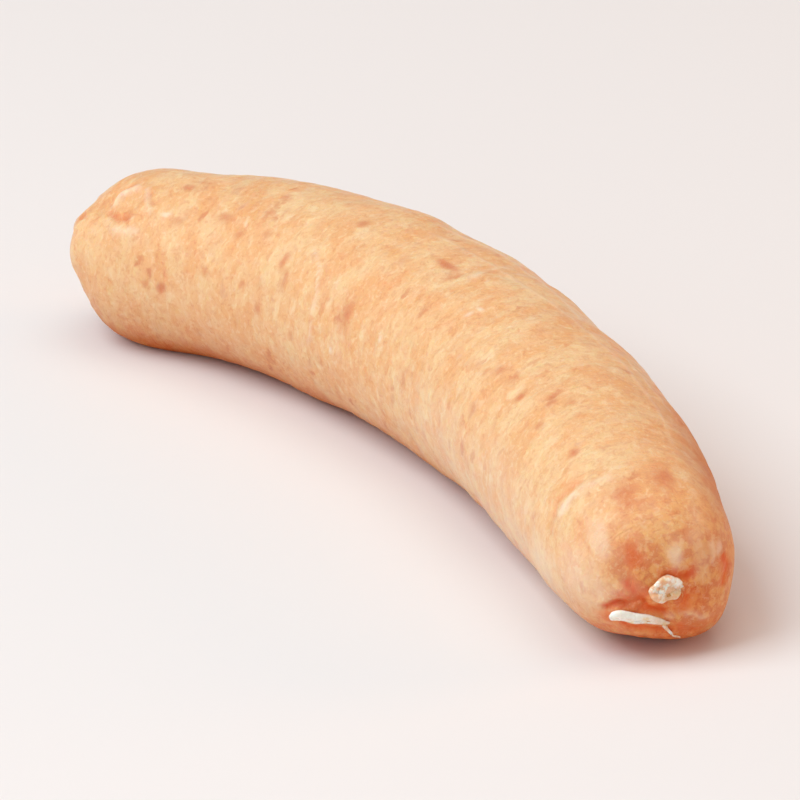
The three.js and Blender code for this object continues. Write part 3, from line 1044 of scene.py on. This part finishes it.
def draw_tube(name, places, half_widths, thickness):
    """A tapering tube along a line through places, in mm, flattened to its thickness."""
    bpy.ops.curve.primitive_nurbs_path_add()
    item = bpy.context.object
    bpy.ops.object.mode_set(mode="EDIT")
    bpy.ops.curve.select_all(action="SELECT")
    bpy.ops.curve.subdivide(number_cuts=TUBE_CUTS)
    done()
    points = item.data.splines[0].points
    share = np.linspace(0, len(places) - 1, len(points))
    steps = np.arange(len(places))
    x, y = (np.interp(share, steps, [place[k] for place in places]) for k in (0, 1))
    for point, px, py, radius in zip(points, x, y, np.interp(share, steps, half_widths)):
        point.co = (px * MM, py * MM, 0, 1)
        point.radius = radius * MM
    item.data.resolution_u = TUBE_STEPS
    item.data.bevel_resolution = TUBE_ROUND
    item.data.bevel_depth = 1
    item.data.use_fill_caps = True
    bpy.ops.object.convert(target="MESH")
    item.name = item.data.name = name
    co = points_of(item.data) / MM
    write_attribute(item, "tail", "FLOAT", line_gap(co[:, 0], co[:, 1], places)[1])
    edit(item)
    take_all()
    bpy.ops.mesh.remove_doubles(threshold=0.01 * MM)
    bpy.ops.mesh.normals_make_consistent(inside=False)
    bpy.ops.transform.resize(value=(1, 1, thickness), center_override=(0, 0, 0))
    done()
    return item


def crumple(item, strength, stretch):
    """Gives a tube folds that are longer along it than across."""
    for size, share in CRUMPLE_SIZES:
        subdivide(item)
        x, y, z = points_of(item.data).T / size
        carve(item, strength * share * MM * noise_at(x / stretch, y, z))
    subdivide(item)


def seat(item, skin, gather, place, lift):
    """Lays a piece made flat at the origin on the skin, level with the skin for a little way round."""
    spot, normal = Vector(), Vector()
    for dx, dy in SEAT_PLACES:
        start = gather.centre + (gather.across * (place[0] + dx) + gather.rise * (place[1] + dy)) * MM
        hit, here, slope, _ = skin.ray_cast(start, gather.aim)
        if not hit:
            raise RuntimeError(f"{item.name} has no skin to lie on")
        spot += here / len(SEAT_PLACES)
        normal += slope
    normal.normalize()
    side = (gather.across - normal * gather.across.dot(normal)).normalized()
    basis = Matrix((side, normal.cross(side), normal)).transposed()
    item.matrix_world = Matrix.Translation(spot + normal * lift * MM) @ basis.to_4x4()
    activate(item)
    bpy.ops.object.transform_apply()


class SAUSAGE_OT_casing_ends(bpy.types.Operator):
    """Models the cut ends of the casing at both gathers"""
    bl_idname = "sausage.casing_ends"
    bl_label = "Casing ends"

    def execute(self, context):
        shape, looks = context.scene.sausage_shape, context.scene.sausage_looks
        skin, axis = bpy.data.objects["skin"], AXES["sausage"]
        for name, recipe in CASING_ENDS.items():
            end, place, lift, line, widths, thickness, crumpling, stretch, share = recipe
            item = draw_tube(name, line, widths, thickness)
            crumple(item, crumpling, stretch)
            seat(item, skin, Gather(shape, axis, end), place, lift)
            bpy.ops.object.shade_smooth()
            item.data.materials.append(casing_material(looks, name + "_casing", share))
            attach(item, "root")
            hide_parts(CAD_NODE)
        return {"FINISHED"}


# -------- the stage

FLOOR_SIZE = 6
SKY_COLOUR = (0.95, 0.94, 0.89, 1)
AIM = Vector((8, -11, 15)) * MM
SENSOR, CLIP_START = 36, 0.05
# Heading round the sausage and rise, in degrees, distance, size, power in watts and colour, and how
# widely a light shines, in degrees, where that is less than all round
LIGHTS = {
    "key": (258, 56, 1.3, 0.9, 12.9, (0.81, 0.94, 1)),
    "side": (244, 24, 1.3, 0.9, 1.2, (0.9, 0.95, 1)),
    "front": (305, 22, 1.4, 0.8, 2, (0.96, 0.98, 1)),
    "top": (60, 80, 1.3, 0.9, 3.7, (0.98, 0.93, 0.85)),
    "rim": (66, 18, 1.3, 0.5, 1.35, (1, 0.44, 0.12), 110),
}


def add_light(name, heading, rise, distance, size, power, colour, spread=180):
    place = from_heading(heading, rise, distance)
    turn = place.to_track_quat("Z", "Y").to_euler()
    bpy.ops.object.light_add(type="AREA", location=place, rotation=turn)
    light = bpy.context.object
    light.name = name
    light.data.shape = "SQUARE"
    light.data.size = size
    light.data.energy = power
    light.data.color = colour
    light.data.spread = math.radians(spread)


def add_camera(stage):
    look = math.pi / 2 + stage.azimuth
    level = math.cos(stage.elevation)
    away = Vector((-level * math.cos(look), -level * math.sin(look), math.sin(stage.elevation)))
    place = AIM + away * stage.distance
    turn = away.to_track_quat("Z", "Y").to_matrix() @ Matrix.Rotation(stage.roll, 3, "Z")
    bpy.ops.object.camera_add(location=place, rotation=turn.to_euler())
    camera = bpy.context.object
    camera.data.sensor_width = SENSOR
    camera.data.lens = stage.lens
    camera.data.clip_start = CLIP_START
    bpy.context.scene.camera = camera


class SAUSAGE_OT_stage(bpy.types.Operator):
    """Sets out the floor, the lights and the camera"""
    bl_idname = "sausage.stage"
    bl_label = "Stage"

    def execute(self, context):
        stage = context.scene.sausage_stage
        deselect()
        bpy.ops.mesh.primitive_plane_add(size=FLOOR_SIZE)
        floor = context.object
        floor.name = "floor"
        floor.data.materials.append(floor_material(stage.floor))
        for name, values in LIGHTS.items():
            add_light(name, *values)
        world = bpy.data.worlds.new("soft_sky")
        context.scene.world = world
        world.use_nodes = True
        sky = world.node_tree.nodes["Background"]
        sky.inputs[0].default_value = SKY_COLOUR
        sky.inputs[1].default_value = stage.sky
        context.scene.view_settings.view_transform = "Standard"
        add_camera(stage)
        return {"FINISHED"}


class SAUSAGE_PT_panel(bpy.types.Panel):
    """Lists the pieces and their sizes and colours"""
    bl_idname = "SAUSAGE_PT_panel"
    bl_label = "Raw sausage"
    bl_space_type = "VIEW_3D"
    bl_region_type = "UI"
    bl_category = "Sausage"

    def draw(self, context):
        for title, group in GROUPS.items():
            box = self.layout.box()
            for name in group.__annotations__:
                box.prop(getattr(context.scene, title), name)
        for operator in OPERATORS:
            self.layout.operator(operator.bl_idname)


OPERATORS = (SAUSAGE_OT_skin, SAUSAGE_OT_casing_ends, SAUSAGE_OT_stage)
GROUPS = {"sausage_shape": SausageShape, "sausage_looks": SausageLooks, "sausage_stage": StageLooks}
CLASSES = (*GROUPS.values(), *OPERATORS, SAUSAGE_PT_panel)


def register():
    for item in CLASSES:
        bpy.utils.register_class(item)
    for name, group in GROUPS.items():
        setattr(bpy.types.Scene, name, bpy.props.PointerProperty(type=group))


def unregister():
    for name in GROUPS:
        delattr(bpy.types.Scene, name)
    for item in reversed(CLASSES):
        bpy.utils.unregister_class(item)


def corners(bounds):
    return [[float(value) for value in corner] for corner in bounds]


def main():
    register()
    bpy.ops.sausage.skin()
    bpy.ops.sausage.casing_ends()
    bpy.ops.sausage.stage()


if __name__ == "__main__":
    main()
